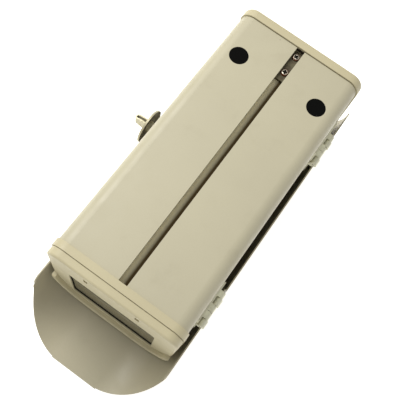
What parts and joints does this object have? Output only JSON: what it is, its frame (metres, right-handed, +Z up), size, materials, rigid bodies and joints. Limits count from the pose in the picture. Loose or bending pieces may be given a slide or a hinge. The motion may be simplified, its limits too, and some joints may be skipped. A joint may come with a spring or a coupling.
{
  "type": "camera housing",
  "caption": "Side-opening weatherproof camera housing lying on its sun shield, with hinged base, wing latch, window, end caps and full-length mounting channel.",
  "frame": {"origin": "on the surface it rests on, under the middle of the body's length and width, at the sun shield's flat crown", "axes": "+Z up (the mounting face with the channel is uppermost), -Y towards the window and the shield's tip, +X towards the hinges"},
  "size_m": [0.1746, 0.3945, 0.1335],
  "materials": {
    "body_paint": "fine satin powder coat, warm light grey-beige",
    "cap_paint": "satin powder coat over die castings, a little yellower than the body",
    "shield_paint": "satin paint on bent sheet",
    "black_rubber": "matt moulded rubber",
    "plug_rubber": "matt black blanking plug",
    "plated_screws": "bright zinc plate",
    "hinge_metal": "cast, matt grey-green",
    "latch_metal": "dull plated pressing",
    "bush_brass": "turned",
    "window_pane": "flat polished pane",
    "sled_aluminium": "mill finish plate",
    "spacer_plastic": "moulded sleeve",
    "camera_bolt": "nickel plate",
    "slider_plated": "brown passivated strip"
  },
  "bodies": {
    "cover": {"cover_shell": "body_paint", "cover_seal": "black_rubber", "sun_shield": "shield_paint", "shield_spacers": "spacer_plastic", "shield_screws": "plated_screws", "shield_nuts": "plated_screws", "hinge_leaf_cover_front": "hinge_metal", "hinge_leaf_cover_rear": "hinge_metal", "hinge_pin_front": "plated_screws", "hinge_pin_rear": "plated_screws", "hinge_screws_cover": "plated_screws", "latch_keeper": "latch_metal"},
    "base": {"base_shell": "body_paint", "cable_plug_left": "plug_rubber", "cable_plug_right": "plug_rubber", "earth_screw": "plated_screws", "front_collar": "cap_paint", "front_bezel": "cap_paint", "window_glass": "window_pane", "window_seal": "black_rubber", "front_gasket": "black_rubber", "collar_screws": "plated_screws", "bezel_screws": "plated_screws", "rear_cap": "cap_paint", "rear_gasket": "black_rubber", "rear_cap_screws": "plated_screws", "hinge_leaf_base_front": "hinge_metal", "hinge_leaf_base_rear": "hinge_metal", "hinge_screws_base": "plated_screws", "latch_bush": "bush_brass"},
    "latch": {"latch_disc": "latch_metal", "latch_wing": "latch_metal", "latch_spindle": "latch_metal", "latch_cam": "latch_metal", "latch_nut": "plated_screws"},
    "sled": {"camera_sled": "sled_aluminium", "sled_pad": "black_rubber"},
    "camera_screw": {"camera_screw": "camera_bolt"},
    "slider": {"channel_slider": "slider_plated", "slider_screws": "plated_screws"}
  },
  "joints": [
    {"name": "lid_hinge", "type": "hinge", "parent": "cover", "child": "base", "pos_m": [0.0759, 0, 0.082], "axis": [0, 1, 0], "range_deg": [0, 100]},
    {"name": "latch_turn", "type": "hinge", "parent": "base", "child": "latch", "pos_m": [-0.081, 0, 0.094], "axis": [-1, 0, 0], "range_deg": [0, 90]},
    {"name": "sled_slide", "type": "slide", "parent": "base", "child": "sled", "axis": [0, 1, 0], "range_m": [-0.03, 0.02]},
    {"name": "camera_screw_slide", "type": "slide", "parent": "sled", "child": "camera_screw", "axis": [0, 1, 0], "range_m": [-0.056, 0.056]},
    {"name": "slider_slide", "type": "slide", "parent": "base", "child": "slider", "axis": [0, 1, 0], "range_m": [-0.25, 0.0005]}
  ]
}
